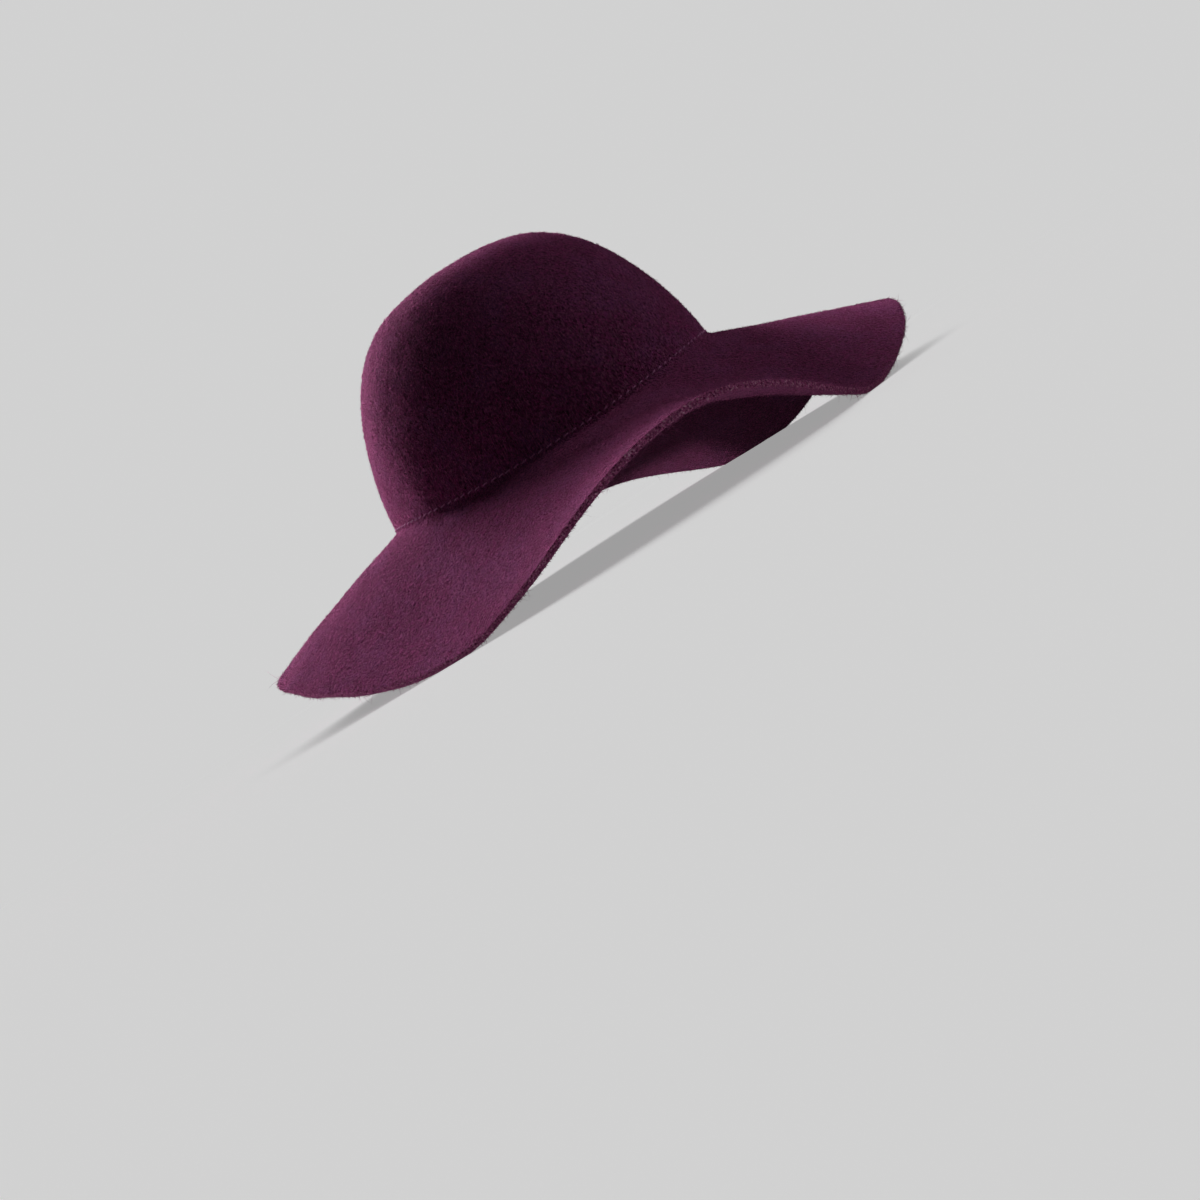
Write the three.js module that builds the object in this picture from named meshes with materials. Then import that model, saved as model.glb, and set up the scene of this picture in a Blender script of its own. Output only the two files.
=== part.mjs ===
// A wide-brim felt hat: one blocked felt body, crown and floppy brim in one wall, and a plain
// band sewn inside the foot of the crown. Millimetres, +Z up, the hat's front towards -Y and the
// wearer's right towards -X. The hat rests crown up on z = 0, on the four low folds of its brim.
//
// Every section is a meridian: it starts at the top of the crown, runs down to the break where
// crown and brim meet, and goes out along the brim to its edge. A turn of 0 degrees is the front
// meridian, 90 the wearer's right, 180 the back and 270 the wearer's left.

import * as THREE from 'three';

// The felt
const FELT_THICKNESS = 3;

// The break line, an oval for a 57 cm head, higher at the front and back than at the sides
const BREAK_HALF_LENGTH = 101;
const BREAK_HALF_WIDTH = 85;
const BREAK_HEIGHT = 64;
const BREAK_SADDLE = 6;
const BREAK_RADIUS = 3;

// The crown, a dome between an ellipse and a box: (reach)^wall + (height)^top = 1
const CROWN_HEIGHT = 109;
const CROWN_WALL_POWER = 3.4;
const CROWN_TOP_POWER = 1.47;
const CROWN_LEAN_BACK = 1;

// The brim, cut to one width all round, and the softness of its bend where it meets the surface
const BRIM_WIDTH = 103.5;
const REST_SOFTNESS = 0.5;

// The folds of the brim, one row for each crest and each low fold, in turn order.
// edge is the free height of the underside at the cut edge: a low fold would reach just below
// the surface, and is flattened on it. belly bows the section up (minus) or down (plus).
const BRIM_FOLDS = [
  { turn: -4, edge: 31, belly: -0.05 },
  { turn: 40, edge: -0.8, belly: 0.25 },
  { turn: 76, edge: 35.5, belly: 0.7 },
  { turn: 124, edge: -1.2, belly: 0.15 },
  { turn: 180, edge: 35.5, belly: -0.2 },
  { turn: 225, edge: -4.5, belly: 0 },
  { turn: 270, edge: 32, belly: 0 },
  { turn: 312, edge: -4.5, belly: 0 },
];

// The inner band, a ribbon bent to the crown's inner wall
const BAND_THICKNESS = 1.2;
const BAND_GAP = 0.3;
const BAND_FOOT = 3;
const BAND_TOP = 29;

// Fineness of the faceted solids
const MERIDIANS = 72;
const CROWN_ROWS = 13;
const BREAK_ROWS = 4;
const BRIM_STATIONS = [0.1, 0.22, 0.36, 0.5, 0.64, 0.77, 0.88, 0.955, 1];
const BAND_ROWS = 3;

// The crown's wall from the top of the dome (0) to the break (1), in parts of reach and height
class CrownProfile extends THREE.Curve {
  getPoint(share, target = new THREE.Vector2()) {
    const climb = (1 - share) * Math.PI / 2;
    const reach = Math.cos(climb) ** (2 / CROWN_WALL_POWER);
    const height = Math.sin(climb) ** (2 / CROWN_TOP_POWER);
    return target.set(reach * BREAK_HALF_LENGTH, height * CROWN_HEIGHT);
  }
}

// A value of the fold table at a turn in degrees, with a level stop at every row
function foldValue(turn, column) {
  const first = BRIM_FOLDS[0];
  const wrapped = first.turn + THREE.MathUtils.euclideanModulo(turn - first.turn, 360);
  const next = BRIM_FOLDS.findIndex((fold) => fold.turn > wrapped);
  const high = next < 0 ? { ...first, turn: first.turn + 360 } : BRIM_FOLDS[next];
  const low = BRIM_FOLDS[next < 0 ? BRIM_FOLDS.length - 1 : next - 1];
  const share = (wrapped - low.turn) / (high.turn - low.turn);
  const ease = (1 - Math.cos(Math.PI * share)) / 2;
  return low[column] + (high[column] - low[column]) * ease;
}

// The outer face of the crown at a turn, reach being 1 at the break and height in millimetres
function crownPoint(turn, reach, height) {
  const angle = THREE.MathUtils.degToRad(turn);
  const rise = height / CROWN_HEIGHT;
  const saddle = BREAK_SADDLE * Math.cos(2 * angle) * (1 - rise) ** 2;
  return new THREE.Vector3(
    -BREAK_HALF_WIDTH * reach * Math.sin(angle),
    -BREAK_HALF_LENGTH * reach * Math.cos(angle) + CROWN_LEAN_BACK * rise,
    BREAK_HEIGHT + height + saddle,
  );
}

// The upper face of the brim at a turn, station being 0 at the break and 1 at the cut edge
function brimPoint(turn, station) {
  const angle = THREE.MathUtils.degToRad(turn);
  const foot = crownPoint(turn, 1, 0);
  const outward = new THREE.Vector3(
    -Math.sin(angle) / BREAK_HALF_WIDTH,
    -Math.cos(angle) / BREAK_HALF_LENGTH,
    0,
  ).normalize();
  const drop = foldValue(turn, 'edge') - foot.z;
  const reach = Math.sqrt(BRIM_WIDTH ** 2 - drop ** 2);
  const bow = foldValue(turn, 'belly') * station * (1 - station);
  const point = foot.clone().addScaledVector(outward, reach * station);
  point.z += drop * (station + bow) + FELT_THICKNESS * station;
  return point;
}

// The outer face along one meridian: dome, rounded break, brim
function meridian(turn) {
  const wall = new CrownProfile().getSpacedPoints(CROWN_ROWS).slice(1, -1);
  const dome = wall.map((point) => crownPoint(turn, point.x / BREAK_HALF_LENGTH, point.y));
  const bend = new THREE.QuadraticBezierCurve3(
    crownPoint(turn, 1, BREAK_RADIUS),
    crownPoint(turn, 1, 0),
    brimPoint(turn, BREAK_RADIUS / BRIM_WIDTH),
  );
  const brim = BRIM_STATIONS.map((station) => brimPoint(turn, station));
  return [...dome, ...bend.getPoints(BREAK_ROWS), ...brim];
}

// Rings of points round the hat, one for each place along the meridian
function ringsOf(section) {
  const columns = [];
  for (let i = 0; i < MERIDIANS; i += 1) {
    columns.push(section(360 * i / MERIDIANS));
  }
  return columns[0].map((_, row) => columns.map((column) => column[row]));
}

// The unit normals of a stack of rings, pointing out of the dome and up from the brim
function ringNormals(rings, top) {
  return rings.map((ring, row) => ring.map((point, i) => {
    const before = ring[(i + MERIDIANS - 1) % MERIDIANS];
    const after = ring[(i + 1) % MERIDIANS];
    const above = row === 0 ? top : rings[row - 1][i];
    const below = row === rings.length - 1 ? point : rings[row + 1][i];
    const round = after.clone().sub(before);
    const down = below.clone().sub(above);
    return round.cross(down).normalize();
  }));
}

// Moves both faces of the felt up where the underside would sink below the surface
function settleOnSurface(outer, inner) {
  inner.forEach((ring, row) => ring.forEach((point, i) => {
    const free = point.z;
    let height = free;
    if (free < REST_SOFTNESS) {
      height = Math.max(free + REST_SOFTNESS, 0) ** 2 / (4 * REST_SOFTNESS);
    }
    point.z = height;
    outer[row][i].z += height - free;
  }));
}

// A closed mesh from rings that follow each other, closed by a pole at each end or as a loop
function closedMesh(name, rings, poles, material) {
  const count = rings[0].length;
  const points = [...rings.flat(), ...poles];
  const faces = [];
  const quad = (a, b) => {
    for (let i = 0; i < count; i += 1) {
      const j = (i + 1) % count;
      faces.push(a + i, b + j, b + i, a + i, a + j, b + j);
    }
  };
  for (let row = 0; row + 1 < rings.length; row += 1) {
    quad(row * count, (row + 1) * count);
  }
  const last = (rings.length - 1) * count;
  if (poles.length === 0) {
    quad(last, 0);
  } else {
    for (let i = 0; i < count; i += 1) {
      const j = (i + 1) % count;
      faces.push(rings.length * count, j, i, rings.length * count + 1, last + i, last + j);
    }
  }
  const geometry = new THREE.BufferGeometry();
  geometry.setAttribute('position', new THREE.Float32BufferAttribute(
    points.flatMap((point) => point.toArray()),
    3,
  ));
  geometry.setIndex(faces);
  geometry.computeVertexNormals();
  const mesh = new THREE.Mesh(geometry, material);
  mesh.name = name;
  return mesh;
}

// The felt body: the outer face, its offset by the felt's thickness, and the cut edge between
function buildFeltBody(material) {
  const top = crownPoint(0, 0, CROWN_HEIGHT);
  const outer = ringsOf(meridian);
  const normals = ringNormals(outer, top);
  const inner = outer.map((ring, row) => ring.map(
    (point, i) => point.clone().addScaledVector(normals[row][i], -FELT_THICKNESS),
  ));
  settleOnSurface(outer, inner);
  const innerTop = top.clone().setZ(top.z - FELT_THICKNESS);
  return closedMesh('felt_body', [...outer, ...inner.reverse()], [top, innerTop], material);
}

// The band: the crown's wall pushed in by the felt and a small gap, then by its own thickness
function buildSweatband(material) {
  const wallPoint = (turn, height) => {
    const reach = (1 - (height / CROWN_HEIGHT) ** CROWN_TOP_POWER) ** (1 / CROWN_WALL_POWER);
    return crownPoint(turn, reach, height);
  };
  const heights = [];
  for (let row = 0; row <= BAND_ROWS; row += 1) {
    heights.push(THREE.MathUtils.lerp(BAND_TOP, BAND_FOOT, row / BAND_ROWS));
  }
  const wall = ringsOf((turn) => heights.map((height) => wallPoint(turn, height)));
  const above = wallPoint(0, BAND_TOP + 1);
  const normals = ringNormals(wall, above);
  const face = (depth) => wall.map((ring, row) => ring.map(
    (point, i) => point.clone().addScaledVector(normals[row === 0 ? 1 : row][i], -depth),
  ));
  const outside = face(FELT_THICKNESS + BAND_GAP);
  const inside = face(FELT_THICKNESS + BAND_GAP + BAND_THICKNESS);
  return closedMesh('sweatband', [...outside, ...inside.reverse()], [], material);
}

const felt = new THREE.MeshStandardMaterial({ color: 0x4f1a38, roughness: 0.95, metalness: 0 });
const ribbon = new THREE.MeshStandardMaterial({ color: 0x2a1120, roughness: 0.8, metalness: 0 });

const hat = new THREE.Group();
hat.add(buildFeltBody(felt), buildSweatband(ribbon));

// The origin is under the middle of the outline, on the surface that the hat rests on
const outline = new THREE.Box3().setFromObject(hat);
const middle = outline.getCenter(new THREE.Vector3());
hat.position.set(-middle.x, -middle.y, 0);

export default hat;
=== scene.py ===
"""The looks of a wide-brim wool felt hat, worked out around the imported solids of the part.

Shapes are computed in millimetres in the hat's own frame: +Z up, the front towards -Y, the wearer's
right towards -X, and the surface that the hat rests on at z = 0. A turn of 0 degrees is the front
meridian, 90 the wearer's right, 180 the back and 270 the wearer's left. Meshes are stored in metres.
"""

import logging
import math
from dataclasses import dataclass
from enum import Enum

import bpy
import numpy as np
from mathutils import Matrix, Vector


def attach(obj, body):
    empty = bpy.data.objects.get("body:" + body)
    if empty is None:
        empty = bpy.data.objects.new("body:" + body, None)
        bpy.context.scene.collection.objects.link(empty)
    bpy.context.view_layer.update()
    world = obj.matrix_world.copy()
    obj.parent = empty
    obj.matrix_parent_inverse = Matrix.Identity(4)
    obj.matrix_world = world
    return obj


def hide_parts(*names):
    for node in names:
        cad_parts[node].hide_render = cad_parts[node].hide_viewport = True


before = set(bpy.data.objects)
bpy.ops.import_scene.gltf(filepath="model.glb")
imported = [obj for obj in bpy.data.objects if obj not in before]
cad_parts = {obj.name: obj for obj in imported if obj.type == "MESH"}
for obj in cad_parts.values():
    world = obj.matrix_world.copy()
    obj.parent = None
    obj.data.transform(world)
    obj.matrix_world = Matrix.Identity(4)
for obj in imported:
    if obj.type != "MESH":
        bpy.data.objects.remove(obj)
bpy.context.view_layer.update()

LOG = logging.getLogger("hat")
BODY = "root"
METRES_PER_MM = 0.001

# How far the felt and its fibres keep above the floor, in millimetres
FLOOR_CLEARANCE = 0.02

# The height of the middle of the hat, in metres
HAT_MIDDLE = 0.09

# A Mix node that mixes colours: its output and setting, and the places of its inputs
MIX = {"result": 2, "data_type": "RGBA"}
FACTOR = 0
FIRST = 6
SECOND = 7

WHITE = (1.0, 1.0, 1.0, 1.0)

# The least length that a vector is divided by
TINY = 1e-12

# A loose fibre is a spike with this many sides, and one that stands straight up finds its side by
# this small step off the normal
SPIKE_SIDES = 3
OFF_NORMAL = 0.01


class Slot(Enum):
    """The record's material slots."""

    FELT = "felt"
    RIBBON = "ribbon"


class Zone(Enum):
    """The zones of the felt that loose fibres stand on."""

    CROWN = "crown"
    BRIM_TOP = "brim_top"
    BRIM_UNDERSIDE = "brim_underside"
    CUT_EDGE = "cut_edge"


class Lamp(Enum):
    """The kinds of studio light."""

    BOX = "AREA"
    FAR = "SUN"


@dataclass(frozen=True)
class Fold:
    """One crest or low fold of the brim.

    turn is where it lies, in degrees. edge is the free height of the underside at the cut edge, in
    millimetres. belly bows the section up (minus) or down (plus).
    """

    turn: float
    edge: float
    belly: float


BRIM_FOLDS = (
    Fold(turn=-4, edge=31, belly=-0.05),
    Fold(turn=40, edge=-0.8, belly=0.25),
    Fold(turn=76, edge=35.5, belly=0.7),
    Fold(turn=124, edge=-1.2, belly=0.15),
    Fold(turn=180, edge=35.5, belly=-0.2),
    Fold(turn=225, edge=-4.5, belly=0),
    Fold(turn=270, edge=32, belly=0),
    Fold(turn=312, edge=-4.5, belly=0),
)


# Arrays and meshes


def unit(vectors: np.ndarray) -> np.ndarray:
    """Vectors divided by their lengths."""
    return vectors / np.maximum(np.linalg.norm(vectors, axis=-1, keepdims=True), TINY)


def signed_power(values: np.ndarray, power: float) -> np.ndarray:
    """The size of each value raised to a power, with the value's own sign."""
    return np.sign(values) * np.abs(values) ** power


def grid_axes(points: np.ndarray, above: np.ndarray) -> tuple[np.ndarray, np.ndarray]:
    """The unit normals and the unit steps down the meridians of a grid that closes round the hat.

    Formula: down is the next row less the row before, and the normal is the cross product of the step
    round the hat (next column less the one before) and down.

    Args:
        points: The grid, (rows, columns, 3), from the top of the dome outwards.
        above: The points above the first row, (3,) or (columns, 3).

    Returns:
        The normals, out of the dome and up from the brim, and the steps down, (rows, columns, 3) each.
    """
    around = np.roll(points, -1, axis=1) - np.roll(points, 1, axis=1)
    first = np.broadcast_to(above, (1, *points.shape[1:]))
    stack = np.concatenate([first, points, points[-1:]])
    down = unit(stack[2:] - stack[:-2])
    return unit(np.cross(around, down)), down


def plane_waves(
    points: np.ndarray,
    span: tuple[float, float],
    seed: int,
    count: int = 32,
) -> np.ndarray:
    """Smooth seeded unevenness with a usual size of 1.

    Formula: the sum of count sine waves, each along a direction of its own with a wavelength inside the
    span and a phase of its own, divided by the root of half their number.

    Args:
        points: The places, (..., 3), in millimetres.
        span: The shortest and the longest wavelength.
        seed: The seed of the draws.
        count: The number of waves.

    Returns:
        The unevenness, (...).
    """
    rng = np.random.default_rng(seed)
    direction = unit(rng.normal(size=(count, 3)))
    wavelength = rng.uniform(*span, size=(count, 1))
    phase = rng.uniform(0, math.tau, size=count)
    waves = np.sin(points @ (math.tau * direction / wavelength).T + phase)
    return waves.sum(axis=-1) / math.sqrt(count / 2)


def ring_faces(rings: int, columns: int, closed: bool = False) -> np.ndarray:
    """The quads between rings that follow each other, each ring closing on itself.

    Args:
        rings: The number of rings, one after another in the vertex order.
        columns: The number of points in each ring.
        closed: True where the last ring joins the first.

    Returns:
        The corner numbers, (quads, 4), facing out where the rings run down a dome.
    """
    row = np.arange(rings if closed else rings - 1)[:, None]
    below = (row + 1) % rings
    here = np.arange(columns)[None, :]
    after = (here + 1) % columns
    upper, lower = row * columns, below * columns
    corners = [upper + here, upper + after, lower + after, lower + here]
    return np.stack(corners, axis=-1).reshape(-1, 4)


def fan_faces(pole: int, first: int, columns: int) -> np.ndarray:
    """The triangles between a ring and a pole.

    Args:
        pole: The number of the pole's point.
        first: The number of the ring's first point.
        columns: The number of points in the ring.

    Returns:
        The corner numbers, (columns, 3), facing out where the pole tops a dome. Read backwards, they face
        the other way.
    """
    here = np.arange(columns)
    return np.stack([np.full(columns, pole), first + (here + 1) % columns, first + here], axis=-1)


def copies_of(template: np.ndarray, count: int, stride: int) -> np.ndarray:
    """The faces of one small shape repeated for shapes whose vertices follow each other."""
    first = np.arange(count)[:, None, None] * stride
    return (template[None] + first).reshape(-1, template.shape[1])


def build_mesh(name: str, points: np.ndarray, faces: list[np.ndarray]) -> bpy.types.Object:
    """Makes a smooth-shaded mesh object from arrays.

    Args:
        name: The name of the object and its mesh.
        points: The vertices in millimetres, (..., 3).
        faces: Arrays of faces, (count, corners), one for each number of corners.

    Returns:
        The object, at the origin, in the scene.
    """
    vertices = points.reshape(-1, 3) * METRES_PER_MM
    corners = np.concatenate([part.reshape(-1) for part in faces])
    totals = np.concatenate([np.full(len(part), part.shape[1]) for part in faces])
    starts = np.concatenate([[0], np.cumsum(totals)[:-1]])
    mesh = bpy.data.meshes.new(name)
    mesh.vertices.add(len(vertices))
    mesh.loops.add(len(corners))
    mesh.polygons.add(len(totals))
    mesh.vertices.foreach_set("co", vertices.astype(np.float32).reshape(-1))
    mesh.loops.foreach_set("vertex_index", corners.astype(np.int32))
    mesh.polygons.foreach_set("loop_start", starts.astype(np.int32))
    mesh.polygons.foreach_set("loop_total", totals.astype(np.int32))
    mesh.polygons.foreach_set("use_smooth", np.ones(len(totals), dtype=bool))
    mesh.update(calc_edges=True)
    piece = bpy.data.objects.new(name, mesh)
    bpy.context.scene.collection.objects.link(piece)
    return piece


def set_attribute(piece: bpy.types.Object, name: str, values: np.ndarray) -> None:
    """Stores one number for each vertex of a piece."""
    attribute = piece.data.attributes.new(name, "FLOAT", "POINT")
    attribute.data.foreach_set("value", values.astype(np.float32).reshape(-1))


def dress(piece: bpy.types.Object, material: bpy.types.Material, slot: Slot, *nodes: str) -> None:
    """Gives a piece its material and its place in the frame.

    Args:
        piece: The piece.
        material: Its finish.
        slot: The record's material slot; not used.
        nodes: The solids that it stands for.
    """
    piece.data.materials.append(material)
    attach(piece, BODY)
    if nodes:
        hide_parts(*nodes)
    piece.data.calc_loop_triangles()
    LOG.info("%s: %d triangles", piece.name, len(piece.data.loop_triangles))


# The form of the hat


@dataclass(frozen=True)
class Surface:
    """A grid of points on a face, with the unit normals and the unit steps down the meridians."""

    points: np.ndarray
    normal: np.ndarray
    down: np.ndarray

    def rows(self, rows: slice) -> "Surface":
        """Some of the rows."""
        return Surface(self.points[rows], self.normal[rows], self.down[rows])

    def at(self, row: np.ndarray, column: np.ndarray) -> "Surface":
        """The surface between the grid's points.

        Formula: each of the four corners of the cell times its share, (1 - u) or u across and (1 - v) or
        v down.

        Args:
            row: The rows, with fractions, (...).
            column: The columns, with fractions, (...).

        Returns:
            The points, normals and steps down there, (..., 3) each.
        """
        count = self.points.shape[1]
        low = np.clip(np.floor(row).astype(int), 0, self.points.shape[0] - 2)
        left = np.floor(column).astype(int)
        v, u = (row - low)[..., None], (column - left)[..., None]
        left, right = left % count, (left + 1) % count
        mixed = [
            (grid[low, left] * (1 - u) + grid[low, right] * u) * (1 - v)
            + (grid[low + 1, left] * (1 - u) + grid[low + 1, right] * u) * v
            for grid in (self.points, self.normal, self.down)
        ]
        return Surface(mixed[0], unit(mixed[1]), unit(mixed[2]))

    def scatter(self, count: int, rng: np.random.Generator) -> "Surface":
        """Seeded places spread evenly over the area.

        Args:
            count: The number of places.
            rng: The source of the draws.

        Returns:
            The places, (count, 3).
        """
        across = (np.roll(self.points, -1, axis=1) - self.points)[:-1]
        area = np.linalg.norm(np.cross(across, np.diff(self.points, axis=0)), axis=-1)
        cell = rng.choice(area.size, size=count, p=(area / area.sum()).reshape(-1))
        row, column = np.divmod(cell, area.shape[1])
        return self.at(row + rng.random(count), column + rng.random(count))


@dataclass(frozen=True)
class HatForm:
    """The shape of the felt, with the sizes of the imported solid, in millimetres."""

    thickness: float = 3
    break_half_length: float = 101
    break_half_width: float = 85
    break_height: float = 64
    break_saddle: float = 6
    break_radius: float = 3
    crown_height: float = 109
    crown_wall_power: float = 3.4
    crown_top_power: float = 1.47
    crown_lean_back: float = 1
    brim_width: float = 103.5
    rest_softness: float = 0.5
    folds: tuple[Fold, ...] = BRIM_FOLDS

    # The solid's own number of meridians, because the origin lies under the middle of its outline
    solid_meridians: int = 72

    # Slow waves of the whole wall, left by blocking it by hand
    blocking_depth: float = 0.2
    blocking_span: tuple[float, float] = (28, 60)

    def fold_value(self, turn: np.ndarray, column: str) -> np.ndarray:
        """A value of the fold table at each turn, with a level stop at every row.

        Formula: low + (high - low) * (1 - cos(pi * share)) / 2, share running from 0 to 1 between rows.

        Args:
            turn: The turns in degrees.
            column: The name of the column, edge or belly.

        Returns:
            The values, one for each turn.
        """
        around = (*self.folds, self.folds[0])
        stops = np.array([fold.turn for fold in around], dtype=float)
        stops[-1] += 360
        values = np.array([getattr(fold, column) for fold in around], dtype=float)
        wrapped = stops[0] + np.mod(turn - stops[0], 360)
        low = np.clip(np.searchsorted(stops, wrapped, side="right") - 1, 0, len(self.folds) - 1)
        share = (wrapped - stops[low]) / (stops[low + 1] - stops[low])
        return values[low] + (values[low + 1] - values[low]) * (1 - np.cos(np.pi * share)) / 2

    def crown_point(self, turn: np.ndarray, reach: np.ndarray, height: np.ndarray) -> np.ndarray:
        """Points of the crown's outer face.

        Formula: an oval of reach times the half width and half length, at height above the break, which
        rises by the saddle times cos(2 turn) and fades with the square of the way to the top.

        Args:
            turn: The turns in degrees.
            reach: The reach from the axis, 1 at the break.
            height: The height above the break.

        Returns:
            The points, (..., 3).
        """
        angle = np.radians(turn)
        rise = height / self.crown_height
        saddle = self.break_saddle * np.cos(2 * angle) * (1 - rise) ** 2
        x = -self.break_half_width * reach * np.sin(angle)
        y = -self.break_half_length * reach * np.cos(angle) + self.crown_lean_back * rise
        z = self.break_height + height + saddle
        return np.stack(np.broadcast_arrays(x, y, z), axis=-1)

    def wall_point(self, turn: np.ndarray, height: np.ndarray) -> np.ndarray:
        """Points of the crown's wall by their height.

        Formula: reach = (1 - (height / crown height) ^ top power) ^ (1 / wall power).

        Args:
            turn: The turns in degrees.
            height: The heights above the break.

        Returns:
            The points, (..., 3).
        """
        share = 1 - (height / self.crown_height) ** self.crown_top_power
        return self.crown_point(turn, share ** (1 / self.crown_wall_power), height)

    def wall_profile(self, rows: int) -> tuple[np.ndarray, np.ndarray]:
        """Reaches and heights evenly spaced down the crown's wall, from near the top to the bend.

        Formula: reach = cos(climb) ^ (2 / wall power) and height = crown height * sin(climb) ^ (2 / top
        power) with climb falling from 90 to 0 degrees, spaced again by the length along the curve.

        Args:
            rows: The number of rows.

        Returns:
            The reaches and the heights, (rows,) each.
        """
        fine = 4000
        climb = np.radians(90) * (1 - np.linspace(0, 1, fine) ** 2)
        reach = np.cos(climb) ** (2 / self.crown_wall_power)
        height = self.crown_height * np.sin(climb) ** (2 / self.crown_top_power)
        steps = np.hypot(np.diff(reach) * self.break_half_length, np.diff(height))
        length = np.concatenate([[0], np.cumsum(steps)])
        end = np.interp(-self.break_radius, -height, length)
        places = np.linspace(0, end, rows + 1)[1:]
        return np.interp(places, length, reach), np.interp(places, length, height)

    def brim_point(self, turn: np.ndarray, station: np.ndarray) -> np.ndarray:
        """Points of the brim's upper face.

        Formula: from the break out along the oval's normal by reach * station, and down by drop *
        (station + belly * station * (1 - station)), reach being the root of brim width squared less drop
        squared, with the felt's thickness put on as station grows.

        Args:
            turn: The turns in degrees.
            station: The share of the way from the break, 0, to the cut edge, 1.

        Returns:
            The points, (..., 3).
        """
        angle = np.radians(turn)
        level = np.zeros_like(angle)
        foot = self.crown_point(turn, np.ones_like(angle), level)
        slope = (-np.sin(angle) / self.break_half_width, -np.cos(angle) / self.break_half_length, level)
        outward = unit(np.stack(slope, axis=-1))
        drop = self.fold_value(turn, "edge") - foot[..., 2]
        reach = np.sqrt(self.brim_width**2 - drop**2)
        bow = self.fold_value(turn, "belly") * station * (1 - station)
        point = foot + outward * (reach * station)[..., None]
        point[..., 2] += drop * (station + bow) + self.thickness * station
        return point

    def bend_point(self, turn: np.ndarray, share: np.ndarray) -> np.ndarray:
        """Points of the rounded break between crown and brim.

        Formula: the quadratic Bezier curve (1-s)^2 a + 2 s (1-s) b + s^2 c from the wall one radius above
        the break, by the break, to the brim one radius out.

        Args:
            turn: The turns in degrees.
            share: The share s of the way, from 0 on the wall to 1 on the brim.

        Returns:
            The points, (..., 3).
        """
        one = np.ones_like(turn)
        start = self.crown_point(turn, one, one * self.break_radius)
        corner = self.crown_point(turn, one, one * 0)
        end = self.brim_point(turn, one * self.break_radius / self.brim_width)
        s = share[..., None]
        return (1 - s) ** 2 * start + 2 * s * (1 - s) * corner + s**2 * end

    def blocking(self, points: np.ndarray) -> np.ndarray:
        """The slow unevenness of the whole wall, along its normal, at points of the smooth outer face."""
        return self.blocking_depth * plane_waves(points, self.blocking_span, seed=11)

    def settle(self, height: np.ndarray) -> np.ndarray:
        """The height of the underside once it rests on the surface.

        Formula: unchanged above the softness s, and (height + s, at least 0) ^ 2 / (4 s) below it.

        Args:
            height: The heights of the free brim.

        Returns:
            The heights of the resting brim.
        """
        soft = self.rest_softness
        resting = np.maximum(height + soft, 0) ** 2 / (4 * soft)
        return np.where(height < soft, resting, height)

    def middle(self) -> np.ndarray:
        """The middle of the solid's outline seen from above, under which the origin lies.

        Returns:
            The middle, (3,), at a height of 0.
        """
        turn = 360 * np.arange(self.solid_meridians) / self.solid_meridians
        edge = self.brim_point(turn, np.ones_like(turn))
        return (edge.min(axis=0) + edge.max(axis=0)) / 2 * (1, 1, 0)


# Finishes


def linear_colour(code: str) -> tuple[float, float, float, float]:
    """Turns an sRGB hex colour to linear light.

    Formula: c / 12.92 up to 0.04045, and ((c + 0.055) / 1.055) ^ 2.4 above it.

    Args:
        code: The colour as #RRGGBB.

    Returns:
        Red, green, blue and an alpha of 1.
    """
    parts = [int(code[place : place + 2], 16) / 255 for place in (1, 3, 5)]
    red, green, blue = (c / 12.92 if c <= 0.04045 else ((c + 0.055) / 1.055) ** 2.4 for c in parts)
    return red, green, blue, 1.0


def empty_tree(owner: bpy.types.Material | bpy.types.World) -> bpy.types.NodeTree:
    """Turns on the nodes of a material or a world and empties its tree.

    Args:
        owner: The material or the world.

    Returns:
        The tree.
    """
    owner.use_nodes = True
    owner.node_tree.nodes.clear()
    return owner.node_tree


def add_node(
    tree: bpy.types.NodeTree,
    kind: str,
    inputs: dict[str | int, object],
    result: str | int = 0,
    **settings: object,
) -> bpy.types.NodeSocket | None:
    """Adds one node to a tree, with its settings and links.

    Args:
        tree: The tree.
        kind: The node's type.
        inputs: A value for each input by name or place. A socket is linked, a colour code is turned to
            linear light, and anything else is set as it is.
        result: The name or place of the output that is wanted.
        settings: The node's own settings.

    Returns:
        The output, or nothing for a node that ends the tree.
    """
    node = tree.nodes.new(kind)
    for name, value in settings.items():
        setattr(node, name, value)
    for place, value in inputs.items():
        if isinstance(value, bpy.types.NodeSocket):
            tree.links.new(value, node.inputs[place])
        elif isinstance(value, str):
            node.inputs[place].default_value = linear_colour(value)
        else:
            node.inputs[place].default_value = value
    return node.outputs[result] if len(node.outputs) else None


def per_metre(size: float) -> float:
    """The pattern scale on Object coordinates whose features have a size in millimetres."""
    return 1 / (size * METRES_PER_MM)


class Finish:
    """A material whose Principled shader reads patterns in its own tree."""

    name: str

    def shading(self, tree: bpy.types.NodeTree) -> dict[str | int, object]:
        """Adds the patterns to the tree and gives the Principled shader's inputs."""
        raise NotImplementedError

    def build(self) -> bpy.types.Material:
        """Makes the material.

        Returns:
            The material.
        """
        material = bpy.data.materials.new(self.name)
        tree = empty_tree(material)
        shader = add_node(tree, "ShaderNodeBsdfPrincipled", self.shading(tree))
        add_node(tree, "ShaderNodeOutputMaterial", {"Surface": shader})
        return material


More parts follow.
